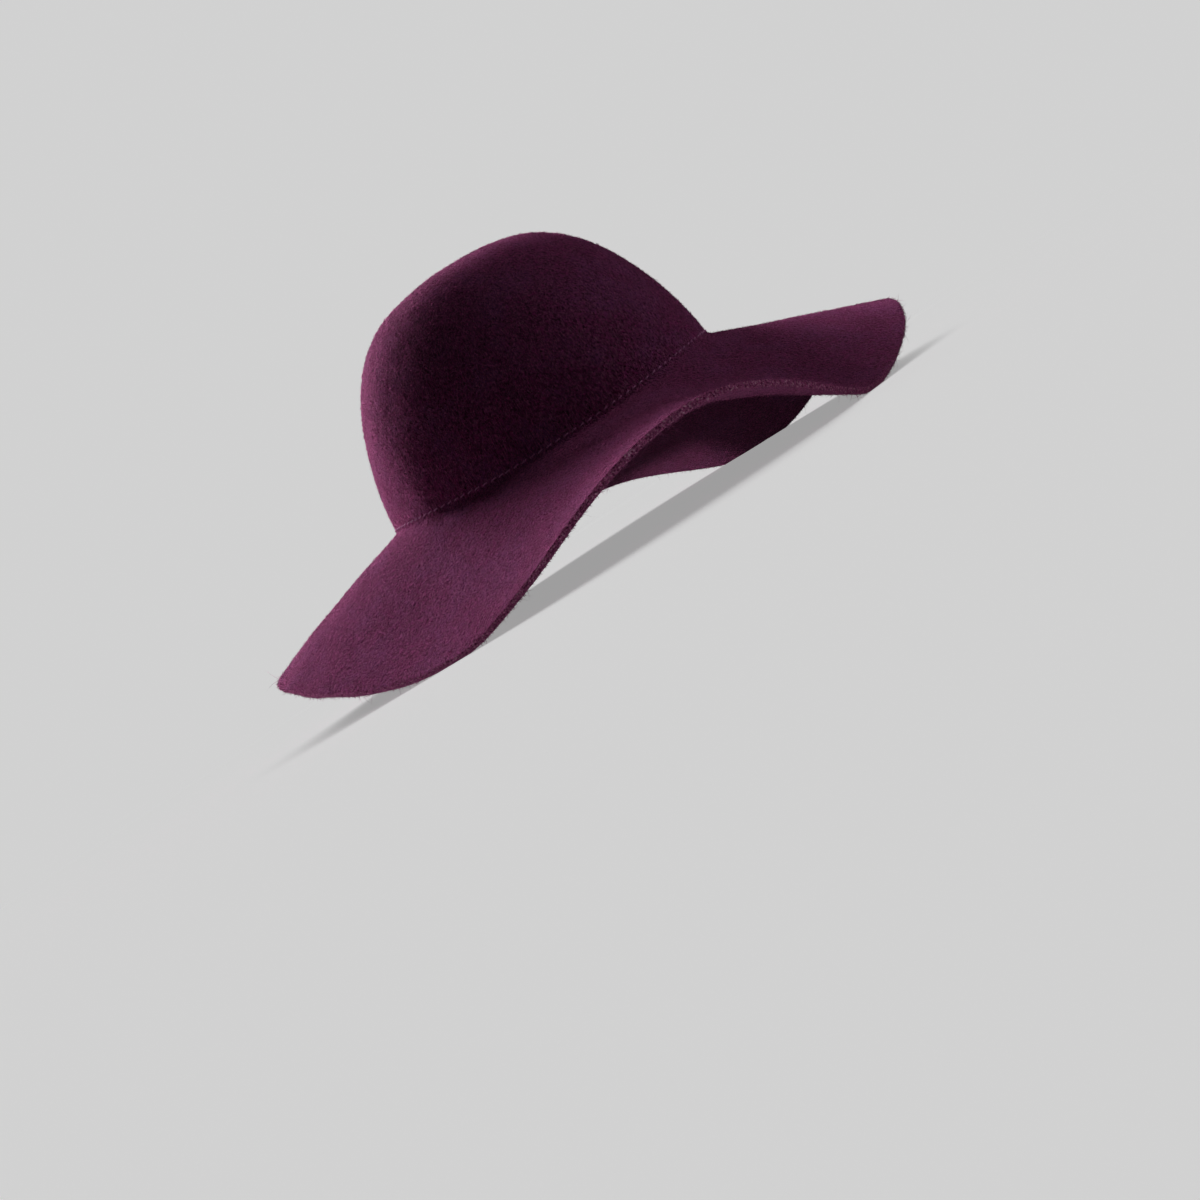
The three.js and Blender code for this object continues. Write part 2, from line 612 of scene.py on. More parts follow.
@dataclass(frozen=True)
class WoolFelt(Finish):
    """Wool felt, blocked over steam and lightly brushed.

    The eye sees a matt, deep colour, cloudy where the dye took unevenly, and broken into a fine grain of
    lit tufts and dark gaps with single fibres across it. It blooms where light grazes the nap. Where the
    felt is cut it is flecked, and its tone and flecks are paler partly from the cut's own loose fibres and
    partly as painted light, lifted to stand in for the light that the cut edge catches.
    """

    name: str = "brushed_wool_felt"
    gap: str = "#441035"
    tuft: str = "#862A66"
    cool: str = "#76366A"
    fibre: str = "#C47EA4"
    # The cut's tone and flecks are paler than the faces partly from loose fibres and partly as painted
    # light for the light that the cut edge catches
    cut: str = "#A85482"
    fleck: str = "#D79ABB"
    bloom: str = "#FF81C4"
    cloud_size: float = 22
    # Real tufts are 0.3 mm wide and real fibres 0.03 mm; both are drawn coarser so that they show
    tuft_size: float = 1.6
    strand_width: float = 0.5
    strand_length: float = 2.6
    fleck_size: float = 0.9
    lump_size: float = 4
    noise_roughness: float = 0.6

    # How far the clouds add to the grain, and how strongly a strand shows over it
    cloud_share: float = 0.35
    strand_share: float = 0.6

    # The noise values between which each pattern goes from none to full
    strand_limits: tuple[float, float] = (0.6, 0.72)
    patch_limits: tuple[float, float] = (0.42, 0.58)
    grain_limits: tuple[float, float] = (0.56, 0.8)
    pit_limits: tuple[float, float] = (0.36, 0.46)
    fleck_limits: tuple[float, float] = (0.56, 0.64)

    # How the layers of strands are turned, in radians about x, y and z
    strand_turns: tuple[tuple[float, float, float], ...] = (
        (0.5, 0.2, 0.9),
        (1.9, 0.8, 2.6),
        (2.7, 2.1, 0.3),
    )

    # The depths of the relief
    lump_depth: float = 0.4
    tuft_depth: float = 2.3
    strand_depth: float = 0.6
    crumb_depth: float = 0.9

    def strands(self, tree: bpy.types.NodeTree, place: bpy.types.NodeSocket) -> bpy.types.NodeSocket:
        """Single fibres seen on the surface.

        Formula: the greatest of three noises drawn out along a direction each, stretched to 0 below the
        strand limits and 1 above them.

        Args:
            tree: The material's tree.
            place: The Object coordinates.

        Returns:
            A factor, 1 on a strand.
        """
        thin, long = per_metre(self.strand_width), per_metre(self.strand_length)
        low, high = self.strand_limits
        strand = None
        for turn in self.strand_turns:
            drawn_out = {"Vector": place, "Rotation": turn, "Scale": (thin, thin, long)}
            along = add_node(tree, "ShaderNodeMapping", drawn_out)
            noise = add_node(tree, "ShaderNodeTexNoise", {"Vector": along, "Scale": 1.0, "Detail": 1.0})
            stretched = {"Value": noise, "From Min": low, "From Max": high}
            ridge = add_node(tree, "ShaderNodeMapRange", stretched)
            if strand is None:
                strand = ridge
            else:
                strand = add_node(tree, "ShaderNodeMath", {0: strand, 1: ridge}, operation="MAXIMUM")
        return strand

    def shading(self, tree: bpy.types.NodeTree) -> dict[str | int, object]:
        """The grain of the faces and of the cut, and their relief.

        Formula: a face is gap, then the patches' tone by the grain, then fibre by the strands. The cut is
        gap, then cut by the pits, then fleck by the flecks. The stored number cut, 0 on the faces and 1 on
        the cut edge, chooses between them.

        Args:
            tree: The material's tree.

        Returns:
            The Principled shader's inputs.
        """
        place = add_node(tree, "ShaderNodeTexCoord", {}, "Object")
        cut = add_node(tree, "ShaderNodeAttribute", {}, "Fac", attribute_name="cut")
        clouds, tufts, flecks, lumps = (
            add_node(
                tree,
                "ShaderNodeTexNoise",
                {
                    "Vector": place,
                    "Scale": per_metre(size),
                    "Detail": detail,
                    "Roughness": self.noise_roughness,
                },
            )
            for size, detail in (
                (self.cloud_size, 3),
                (self.tuft_size, 2),
                (self.fleck_size, 1),
                (self.lump_size, 2),
            )
        )
        strand = self.strands(tree, place)
        clouded = {0: clouds, 1: self.cloud_share, 2: tufts}
        clouded_tufts = add_node(tree, "ShaderNodeMath", clouded, operation="MULTIPLY_ADD")
        share = add_node(tree, "ShaderNodeMath", {0: strand, 1: self.strand_share}, operation="MULTIPLY")
        crumb = add_node(tree, "ShaderNodeMath", {0: flecks, 1: cut}, operation="MULTIPLY")
        patch, grain, pits, specks = (
            add_node(tree, "ShaderNodeMapRange", {"Value": value, "From Min": low, "From Max": high})
            for value, (low, high) in (
                (clouds, self.patch_limits),
                (clouded_tufts, self.grain_limits),
                (flecks, self.pit_limits),
                (flecks, self.fleck_limits),
            )
        )
        tone = add_node(tree, "ShaderNodeMix", {FACTOR: patch, FIRST: self.tuft, SECOND: self.cool}, **MIX)
        ground = add_node(tree, "ShaderNodeMix", {FACTOR: grain, FIRST: self.gap, SECOND: tone}, **MIX)
        face = add_node(tree, "ShaderNodeMix", {FACTOR: share, FIRST: ground, SECOND: self.fibre}, **MIX)
        # The cut edge's pale tone and flecks carry painted light as well as the colour of the cut's loose
        # fibres
        pitted = add_node(tree, "ShaderNodeMix", {FACTOR: pits, FIRST: self.gap, SECOND: self.cut}, **MIX)
        edge = add_node(tree, "ShaderNodeMix", {FACTOR: specks, FIRST: pitted, SECOND: self.fleck}, **MIX)
        colour = add_node(tree, "ShaderNodeMix", {FACTOR: cut, FIRST: face, SECOND: edge}, **MIX)
        relief = None
        for height, depth in (
            (lumps, self.lump_depth),
            (tufts, self.tuft_depth),
            (strand, self.strand_depth),
            (crumb, self.crumb_depth),
        ):
            bump = {"Height": height, "Distance": depth * METRES_PER_MM, "Strength": 1.0}
            if relief is not None:
                bump["Normal"] = relief
            relief = add_node(tree, "ShaderNodeBump", bump)
        return {
            "Base Color": colour,
            "Roughness": 0.95,
            "Specular IOR Level": 0.04,
            "Sheen Weight": 0.7,
            "Sheen Roughness": 0.4,
            "Sheen Tint": self.bloom,
            "Normal": relief,
        }


@dataclass(frozen=True)
class WoolNap(Finish):
    """Loose wool fibres raised by brushing: matt, each of its own tone, with a bloom where light grazes."""

    name: str = "loose_wool_fibres"
    dark: str = "#4E153C"
    pale: str = "#AE6490"
    bloom: str = "#FF81C4"

    def shading(self, tree: bpy.types.NodeTree) -> dict[str | int, object]:
        """The tone that is stored for each fibre, from dark at 0 to pale at 1.

        Args:
            tree: The material's tree.

        Returns:
            The Principled shader's inputs.
        """
        tone = add_node(tree, "ShaderNodeAttribute", {}, "Fac", attribute_name="tone")
        colour = add_node(tree, "ShaderNodeMix", {FACTOR: tone, FIRST: self.dark, SECOND: self.pale}, **MIX)
        return {
            "Base Color": colour,
            "Roughness": 0.8,
            "Specular IOR Level": 0.04,
            "Sheen Weight": 0.7,
            "Sheen Roughness": 0.5,
            "Sheen Tint": self.bloom,
        }


@dataclass(frozen=True)
class RibbedYarn(Finish):
    """Spun yarn, woven into ribs or twisted into plies, with painted shade in the grooves and a fine fuzz.

    stored names the number on the piece that is 0 in a groove and 1 on a rib or ply. groove is a painted
    shade tone for the grooves. fuzz_size and fuzz_depth are in millimetres. bloom is the tint of its sheen.
    """

    name: str
    stored: str
    groove: str
    raised: str
    fuzz_size: float
    fuzz_depth: float
    fuzz_strength: float
    roughness: float
    gloss: float
    sheen: float
    bloom: str = "#FFFFFF"

    def shading(self, tree: bpy.types.NodeTree) -> dict[str | int, object]:
        """The painted shade of the grooves and the tone of the ribs, and the fuzz as relief.

        Args:
            tree: The material's tree.

        Returns:
            The Principled shader's inputs.
        """
        place = add_node(tree, "ShaderNodeTexCoord", {}, "Object")
        rib = add_node(tree, "ShaderNodeAttribute", {}, "Fac", attribute_name=self.stored)
        # The groove tone is painted shade, mixed in where the stored number falls towards the grooves
        tones = {FACTOR: rib, FIRST: self.groove, SECOND: self.raised}
        pattern = {"Vector": place, "Scale": per_metre(self.fuzz_size), "Detail": 2}
        relief = {
            "Height": add_node(tree, "ShaderNodeTexNoise", pattern),
            "Distance": self.fuzz_depth * METRES_PER_MM,
            "Strength": self.fuzz_strength,
        }
        return {
            "Base Color": add_node(tree, "ShaderNodeMix", tones, **MIX),
            "Roughness": self.roughness,
            "Specular IOR Level": self.gloss,
            "Sheen Weight": self.sheen,
            "Sheen Roughness": 0.4,
            "Sheen Tint": self.bloom,
            "Normal": add_node(tree, "ShaderNodeBump", relief),
        }


# Woven grosgrain, satin on its ribs, with painted shade darkening the grooves between them
GROSGRAIN_RIBBON = RibbedYarn(
    name="grosgrain_ribbon",
    stored="rib",
    groove="#1A0A14",
    raised="#331727",
    fuzz_size=0.35,
    fuzz_depth=0.1,
    fuzz_strength=0.5,
    roughness=0.55,
    gloss=0.4,
    sheen=0.3,
)

# Two-ply cotton, a soft, pale twist, with painted shade darkening the grooves between the plies
COTTON_THREAD = RibbedYarn(
    name="two_ply_cotton_thread",
    stored="ply",
    groove="#8E4678",
    raised="#D892C0",
    fuzz_size=0.25,
    fuzz_depth=0.05,
    fuzz_strength=0.6,
    roughness=0.75,
    gloss=0.1,
    sheen=0.2,
    bloom="#D892C0",
)


# The pieces


@dataclass(frozen=True)
class FeltBody:
    """The one felt wall of crown and brim, with its cut edge, in millimetres."""

    form: HatForm
    columns: int = 560
    dome_rows: int = 50
    bend_rows: int = 6
    brim_rows: int = 46
    edge_rows: int = 8

    # The inner face is plain and keeps one row in so many
    inner_step: int = 2

    # The cut: how far it bulges, how square its section is, how the cut line wobbles, and how sharply
    # the wobble grows towards it
    edge_bulge: float = 0.5
    edge_power: float = 4
    rim_wobble: float = 0.2
    rim_span: tuple[float, float] = (25, 60)
    rim_power: float = 6

    # The pebbled faces, and the groove that the stitches pull into the break
    pebble_depth: float = 0.03
    pebble_span: tuple[float, float] = (5, 11)
    seam_groove: float = 0.15
    seam_groove_width: float = 1.1

    @property
    def brim_start(self) -> int:
        """The first row of the brim."""
        return self.dome_rows + self.bend_rows - 1

    def smooth_face(self) -> tuple[np.ndarray, np.ndarray]:
        """The smooth outer face: dome, rounded break and brim.

        Returns:
            The points, (rows, columns, 3), and each row's station on the brim, 0 on the crown.
        """
        turn = 360 * np.arange(self.columns) / self.columns
        reach, height = self.form.wall_profile(self.dome_rows)
        dome = self.form.crown_point(turn[None, :], reach[:, None], height[:, None])
        share = np.linspace(0, 1, self.bend_rows + 1)[1:-1]
        bend = self.form.bend_point(*np.broadcast_arrays(turn[None, :], share[:, None]))
        first = self.form.break_radius / self.form.brim_width
        last = 1 - self.edge_bulge / self.form.brim_width
        station = np.linspace(first, last, self.brim_rows)
        brim = self.form.brim_point(*np.broadcast_arrays(turn[None, :], station[:, None]))
        stations = np.concatenate([np.zeros(self.brim_start), station])
        return np.concatenate([dome, bend, brim]), stations

    def faces_of_wall(self) -> tuple[Surface, Surface]:
        """The uneven outer and inner face, flattened where they rest, in the frame of the solid.

        Formula: outer = smooth + normal * (blocking - groove) + down * wobble * station ^ rim power, and
        inner = outer - normal * thickness, both lifted where the inner face would sink below the surface,
        and each then pebbled along its own normal.

        Returns:
            The outer and the inner surface, row for row opposite each other.
        """
        smooth, station = self.smooth_face()
        top = self.form.crown_point(0.0, 0.0, self.form.crown_height)
        normal, down = grid_axes(smooth, top)
        corner = self.form.crown_point(360 * np.arange(self.columns) / self.columns, 1.0, 0.0)
        from_break = np.linalg.norm(smooth - corner, axis=-1) / self.seam_groove_width
        lift = self.form.blocking(smooth) - self.seam_groove * np.exp(-(from_break**2))
        growth = self.rim_wobble * station[:, None] ** self.rim_power
        wobble = growth * plane_waves(smooth, self.rim_span, seed=12)
        outer = smooth + normal * lift[..., None] + down * wobble[..., None]
        inner = outer - grid_axes(outer, top)[0] * self.form.thickness
        rest = self.form.settle(inner[..., 2]) - inner[..., 2]
        outer[..., 2] += rest
        inner[..., 2] += rest
        normal, down = grid_axes(outer, top)
        outer += normal * self.pebble(outer, seed=13)
        inner -= normal * self.pebble(inner, seed=14)
        inner[..., 2] = np.maximum(inner[..., 2], FLOOR_CLEARANCE)
        shift = self.form.middle()
        return Surface(outer - shift, normal, down), Surface(inner - shift, -normal, down)

    def pebble(self, points: np.ndarray, seed: int) -> np.ndarray:
        """The depth of the pebbled face at each point, (..., 1)."""
        waves = plane_waves(points, self.pebble_span, seed, count=64)
        return self.pebble_depth * waves[..., None]

    def cut_face(self, outer: Surface, inner: Surface) -> Surface:
        """The cut edge between the two faces.

        Formula: middle + half * cos(e) ^ (2 / power) + outward * bulge * sin(e) ^ (2 / power), with e from
        0 on the outer face to pi on the inner one, half being half the step from the inner to the outer
        rim: a rounded square.

        Args:
            outer: The outer surface.
            inner: The inner surface.

        Returns:
            The cut face, its first row on the outer rim and its last on the inner rim.
        """
        upper, lower = outer.points[-1], inner.points[-1]
        e = np.linspace(0, np.pi, self.edge_rows + 2)[:, None, None]
        across = signed_power(np.cos(e), 2 / self.edge_power)
        bulge = self.edge_bulge * signed_power(np.sin(e), 2 / self.edge_power)
        points = (upper + lower) / 2 + (upper - lower) / 2 * across + outer.down[-1] * bulge
        points[..., 2] = np.maximum(points[..., 2], FLOOR_CLEARANCE)
        normal, down = grid_axes(points, outer.points[-2])
        return Surface(points, normal, down)

    def build(self, material: bpy.types.Material) -> dict[Zone, Surface]:
        """Makes the piece.

        Args:
            material: The felt.

        Returns:
            The surfaces that the naps and stitches sit on.
        """
        outer, inner = self.faces_of_wall()
        cut = self.cut_face(outer, inner)
        rings = np.concatenate([outer.points, cut.points[1:-1], inner.points[:: -self.inner_step]])
        poles = [surface.points[0].mean(axis=0) for surface in (outer, inner)]
        count = len(rings)
        pole = count * self.columns
        faces = [
            ring_faces(count, self.columns),
            fan_faces(pole, 0, self.columns),
            fan_faces(pole + 1, pole - self.columns, self.columns)[:, ::-1],
        ]
        piece = build_mesh("felt_wall", np.concatenate([rings.reshape(-1, 3), poles]), faces)
        on_cut = np.zeros(count)
        first = len(outer.points)
        on_cut[first : first + self.edge_rows] = 1
        set_attribute(piece, "cut", np.concatenate([np.repeat(on_cut, self.columns), [0, 0]]))
        dress(piece, material, Slot.FELT, "felt_body")
        return {
            Zone.CROWN: outer.rows(slice(0, self.brim_start + 1)),
            Zone.BRIM_TOP: outer.rows(slice(self.brim_start, None)),
            Zone.BRIM_UNDERSIDE: inner.rows(slice(self.brim_start, None)),
            Zone.CUT_EDGE: cut,
        }


@dataclass(frozen=True)
class Nap:
    """Loose fibres of one zone of the felt, in millimetres and degrees.

    length is the shortest and the longest. lift is the mean angle off the face and its spread, and
    spread that of the heading within the face. paleness is the mean of their tones, from 0 for the dark
    one to 1 for the pale one, and evenness how closely the tones keep to it.
    """

    name: str
    zone: Zone
    count: int
    seed: int
    length: tuple[float, float] = (1.4, 3.0)
    # Real wool fibres are 0.03 mm thick; they are drawn coarser and fewer so that they show
    width: float = 0.28
    lift: tuple[float, float] = (17, 10)
    spread: float = 180
    segments: int = 1
    sink: float = 0.15
    curl: float = 0.25
    droop: float = 0.6
    paleness: float = 0.55
    evenness: float = 4

    def build(self, surface: Surface, material: bpy.types.Material) -> None:
        """Makes the piece.

        Formula: each fibre is a three-sided spike whose axis is root + length * (heading * share + bend *
        share^2) and whose radius is width / 2 * (1 - share^2). heading is the step down the meridian
        turned by a seeded angle within the face and lifted off it by another, and bend is curl times a
        seeded step aside, less droop * sin(lift) along the normal.

        Args:
            surface: The face that the fibres grow on.
            material: The fibres' finish.
        """
        rng = np.random.default_rng(self.seed)
        root = surface.scatter(self.count, rng)
        turn = np.radians(rng.normal(0, self.spread, (self.count, 1)))
        lift = np.radians(np.abs(rng.normal(*self.lift, (self.count, 1))))
        length = rng.uniform(*self.length, (self.count, 1))
        aside = np.cross(root.normal, root.down)
        lying = np.cos(turn) * root.down + np.sin(turn) * aside
        heading = np.cos(lift) * lying + np.sin(lift) * root.normal
        side = unit(np.cross(heading, root.normal + OFF_NORMAL))
        back = np.cross(heading, side)
        sideways = rng.normal(size=(self.count, 1)) * side
        bend = self.curl * (sideways - self.droop * root.normal * np.sin(lift))
        share = np.arange(self.segments + 1)[None, :, None] / self.segments
        axis = (root.points - self.sink * root.normal)[:, None] + length[:, None] * (
            share * heading[:, None] + share**2 * bend[:, None]
        )
        corner = (math.tau * np.arange(SPIKE_SIDES) / SPIKE_SIDES)[None, None, :, None]
        round_axis = np.cos(corner) * side[:, None, None] + np.sin(corner) * back[:, None, None]
        radius = self.width / 2 * (1 - share[:, :-1, None] ** 2)
        rings = axis[:, :-1, None] + radius * round_axis
        points = np.concatenate([rings.reshape(self.count, -1, 3), axis[:, -1:]], axis=1)
        points[..., 2] = np.maximum(points[..., 2], FLOOR_CLEARANCE)
        tip = SPIKE_SIDES * self.segments
        root_cap = np.arange(SPIKE_SIDES)[None, ::-1]
        spike = fan_faces(tip, tip - SPIKE_SIDES, SPIKE_SIDES)[:, ::-1]
        shaft = ring_faces(self.segments, SPIKE_SIDES)
        parts = (np.concatenate([root_cap, spike]), shaft)
        piece = build_mesh(self.name, points, [copies_of(part, self.count, tip + 1) for part in parts])
        tone = rng.beta(self.evenness * self.paleness, self.evenness * (1 - self.paleness), self.count)
        set_attribute(piece, "tone", np.repeat(tone, tip + 1))
        dress(piece, material, Slot.FELT)


NAPS = (
    Nap("nap_crown", Zone.CROWN, count=45000, seed=21),
    Nap("nap_brim_top", Zone.BRIM_TOP, count=45000, seed=22),
    Nap("nap_brim_underside", Zone.BRIM_UNDERSIDE, count=40000, seed=23),
    # The cut edge's fibres are paler partly of their own and partly as painted light for the light that the
    # cut edge catches
    Nap(
        "nap_cut_edge",
        Zone.CUT_EDGE,
        count=9000,
        seed=24,
        length=(0.7, 2.0),
        width=0.22,
        lift=(35, 20),
        spread=90,
        segments=2,
        paleness=0.7,
    ),
    Nap(
        "stray_fibres",
        Zone.CUT_EDGE,
        count=500,
        seed=25,
        length=(3, 7),
        width=0.16,
        lift=(30, 18),
        spread=90,
        segments=4,
        curl=0.5,
        paleness=0.8,
    ),
)


@dataclass(frozen=True)
class SweatBand:
    """The ribbon bent to the crown's inner wall, in millimetres."""

    form: HatForm
    thickness: float = 1.2
    gap: float = 0.3
    foot: float = 3
    top: float = 29
    edge_radius: float = 0.5
    rib_pitch: float = 1.1
    rib_depth: float = 0.1
    points_per_rib: int = 4
    face_rows: int = 5
    corner_rows: int = 4

    # Where the ribbon's ends overlap at the back, the inner layer rises over the outer one
    lap_turn: float = 180
    lap_half_width: float = 7
    lap_fall: float = 1
    lap_rise: float = 0.6

    # The height of the stitches that hold it, above the break
    stitch_height: float = 5

    def section(self) -> np.ndarray:
        """The ribbon's section: round the foot, up the inside, round the top and down the outside.

        Formula: quarter circles about four centres, centre - edge radius * (sin a, cos a) with a going on
        by a quarter turn from one to the next, and straight faces between.

        Returns:
            The heights above the break and the depths from the ribbon's outside, (2, rows).
        """
        radius = self.edge_radius
        quarter = np.linspace(0, np.pi / 2, self.corner_rows)
        low, high = self.foot + radius, self.top - radius
        near, far = radius, self.thickness - radius
        corners = [
            np.stack([height - radius * np.sin(angle), depth - radius * np.cos(angle)])
            for height, depth, angle in (
                (low, near, quarter),
                (low, far, quarter + np.pi / 2),
                (high, far, quarter + np.pi),
                (high, near, quarter + np.pi * 3 / 2),
            )
        ]
        climb = np.linspace(low, high, self.face_rows)[1:-1]
        inside = np.stack([climb, np.full_like(climb, self.thickness)])
        outside = np.stack([climb[::-1], np.zeros_like(climb)])
        return np.concatenate([*corners[:2], inside, *corners[2:], outside], axis=1)

    def place(
        self,
        turn: np.ndarray,
        height: np.ndarray,
        depth: np.ndarray,
    ) -> tuple[np.ndarray, np.ndarray]:
        """Points at a depth from the ribbon's outside, which follows the uneven felt.

        Formula: wall point - normal * (felt + gap + depth - blocking), the normal being the cross product
        of short steps round the hat and down the wall.

        Args:
            turn: The turns in degrees.
            height: The heights above the break.
            depth: The depths from the ribbon's outside.

        Returns:
            The points and the wall's outward normals, (..., 3) each.
        """
        turn, height, depth = np.broadcast_arrays(turn, height, depth)
        step = 0.5
        around = self.form.wall_point(turn + step, height) - self.form.wall_point(turn - step, height)
        down = self.form.wall_point(turn, height - step) - self.form.wall_point(turn, height + step)
        normal = unit(np.cross(around, down))
        wall = self.form.wall_point(turn, height)
        inwards = self.form.thickness + self.gap + depth - self.form.blocking(wall)
        return wall - normal * inwards[..., None] - self.form.middle(), normal

    def lap(self, turn: np.ndarray) -> np.ndarray:
        """The rise of the overlap: 1 inside it, falling to 0 over the length of its fall at each end."""
        arc = np.radians(np.abs(turn - self.lap_turn)) * self.form.break_half_width
        return np.clip(0.5 + (self.lap_half_width - arc) / self.lap_fall, 0, 1)

    def build(self, material: bpy.types.Material) -> None:
        """Makes the piece, with ribs across its inner face.

        Formula: depth + rib depth * cos(turn * ribs) on the inner face, plus the lap's rise, with as many
        ribs as their pitch goes into the oval's length, 2 pi times the root of its mean squared half axes.

        Args:
            material: The ribbon's finish.
        """
        half_axes = (self.form.break_half_length, self.form.break_half_width)
        ribs = round(math.tau * math.hypot(*half_axes) / math.sqrt(2) / self.rib_pitch)
        columns = ribs * self.points_per_rib
        turn = 360 * np.arange(columns) / columns
        height, depth = self.section()
        inner_share = np.clip(depth / self.thickness, 0, 1)[:, None]
        wave = np.cos(np.radians(turn) * ribs)[None, :]
        rise = self.rib_depth * wave + self.lap_rise * self.lap(turn)[None, :]
        points, _ = self.place(turn[None, :], height[:, None], depth[:, None] + inner_share * rise)
        piece = build_mesh("ribbon_band", points, [ring_faces(len(height), columns, closed=True)])
        # The stored rib number makes the grooves between the ribs darker with painted shade
        rib = np.broadcast_to(0.5 + 0.5 * wave, (len(height), columns))
        set_attribute(piece, "rib", rib)
        dress(piece, material, Slot.RIBBON, "sweatband")


@dataclass(frozen=True)
class Stitches:
    """A running row of thread, in millimetres: each stitch is an arch of two-ply thread that sinks in."""

    name: str
    seed: int
    count: int = 126
    length: float = 3.1
    thread: float = 0.64
    slant: float = 0.35
    rise: float = 0.35
    sink: float = 0.5
    ply_depth: float = 0.16
    twist_turns: float = 1.6
    rings: int = 12
    sides: int = 10
    jitter: float = 0.06

    def build(self, place: "StitchPath", material: bpy.types.Material) -> None:
        """Makes the piece.

        Formula: the thread's axis is the path's point + normal * (rise + sink) * root of sin(pi share) -
        normal * sink, and its radius is thread / 2 * (1 + ply depth * cos(2 * (angle - twist))), which
        winds two plies round each other. A pole closes each end a quarter of the thread further on.

        Args:
            place: Gives the path's points and normals.
            material: The thread's finish.
        """
        rng = np.random.default_rng(self.seed)
        centre = (np.arange(self.count) + self.jitter * rng.normal(size=self.count)) / self.count
        length = self.length * (1 + self.jitter * rng.normal(size=self.count))
        share = np.linspace(0, 1, self.rings)
        along = centre[:, None] + (share - 0.5) * (length / place.circumference)[:, None]
        aside = np.broadcast_to((share - 0.5) * 2 * self.slant, along.shape)
        points, normal = place.points(along, aside)
        arch = (self.rise + self.sink) * np.sqrt(np.sin(np.pi * share)) - self.sink
        axis = points + normal * arch[None, :, None]
        tangent = unit(np.gradient(axis, axis=1))
        side = unit(np.cross(tangent, normal))
        top = np.cross(side, tangent)
        angle = math.tau * np.arange(self.sides)[None, :] / self.sides
        plies = np.cos(2 * (angle - math.tau * self.twist_turns * share[:, None]))
        radius = self.thread / 2 * (1 + self.ply_depth * plies)[None, :, :, None]
        spoke = np.cos(angle)[0, :, None] * side[:, :, None] + np.sin(angle)[0, :, None] * top[:, :, None]
        rings = axis[:, :, None] + radius * spoke
        poles = axis[:, [0, -1]] + tangent[:, [0, -1]] * self.thread / 4 * np.array([-1, 1])[:, None]
        vertices = np.concatenate([rings.reshape(self.count, -1, 3), poles], axis=1)
        pole = self.rings * self.sides
        stride = pole + 2
        start = fan_faces(pole, 0, self.sides)
        end = fan_faces(pole + 1, pole - self.sides, self.sides)[:, ::-1]
        parts = (ring_faces(self.rings, self.sides), np.concatenate([start, end]))
        piece = build_mesh(self.name, vertices, [copies_of(part, self.count, stride) for part in parts])
        # The stored ply number makes the grooves between the plies darker with painted shade
        ply = np.concatenate([(0.5 + 0.5 * plies).reshape(-1), [0.5, 0.5]])
        set_attribute(piece, "ply", np.tile(ply, self.count))
        dress(piece, material, Slot.RIBBON)


class StitchPath:
    """The closed line that a row of stitches follows, measured along the break's oval."""

    def __init__(self, form: HatForm, parts: int = 1440) -> None:
        """Measures the oval.

        Args:
            form: The shape of the felt.
            parts: The number of straight parts that the oval is measured by.
        """
        self.form = form
        self.turn = np.linspace(0, 360, parts + 1)
        oval = form.crown_point(self.turn, 1.0, 0.0)
        steps = np.linalg.norm(np.diff(oval, axis=0), axis=-1)
        self.length = np.concatenate([[0], np.cumsum(steps)])

    @property
    def circumference(self) -> float:
        """The length of the whole line."""
        return self.length[-1]

    def turn_at(self, along: np.ndarray) -> np.ndarray:
        """The turns in degrees at shares of the way round."""
        return np.interp(np.mod(along, 1) * self.circumference, self.length, self.turn)

    def points(self, along: np.ndarray, aside: np.ndarray) -> tuple[np.ndarray, np.ndarray]:
        """The points and normals at shares of the way round, moved aside by millimetres."""
        raise NotImplementedError


class BreakPath(StitchPath):
    """The line just above the break on the felt's outer face."""

    def __init__(self, form: HatForm, surface: Surface, row: float) -> None:
        """Measures the oval and the height of a row.

        Args:
            form: The shape of the felt.
            surface: The crown's outer face.
            row: The row that the stitches lie on.
        """
        super().__init__(form)
        self.surface = surface
        self.row = row
        self.row_height = np.linalg.norm(surface.points[-1, 0] - surface.points[-2, 0])

    def points(self, along: np.ndarray, aside: np.ndarray) -> tuple[np.ndarray, np.ndarray]:
        """Points on the felt.

        Formula: the face at row + aside / row height and at the column of the turn.

        Args:
            along: Shares of the way round.
            aside: How far the points are moved down the face, in millimetres.

        Returns:
            The points and the outward normals, (..., 3) each.
        """
        column = self.turn_at(along) / 360 * self.surface.points.shape[1]
        place = self.surface.at(self.row + aside / self.row_height, column)
        return place.points, place.normal


class BandPath(StitchPath):
    """The line near the foot of the ribbon, on its inner face."""

    def __init__(self, form: HatForm, band: SweatBand) -> None:
        """Measures the oval and takes the ribbon."""
        super().__init__(form)
        self.band = band

    def points(self, along: np.ndarray, aside: np.ndarray) -> tuple[np.ndarray, np.ndarray]:
        """Points on the ribbon.

        Formula: the ribbon's place at stitch height - aside, as deep as its thickness and the lap's rise.

        Args:
            along: Shares of the way round.
            aside: How far the points are moved down the face, in millimetres.

        Returns:
            The points and the inward normals, (..., 3) each.
        """
        turn = self.turn_at(along)
        depth = self.band.thickness + self.band.lap_rise * self.band.lap(turn)
        points, normal = self.band.place(turn, self.band.stitch_height - aside, depth)
        return points, -normal


# The studio


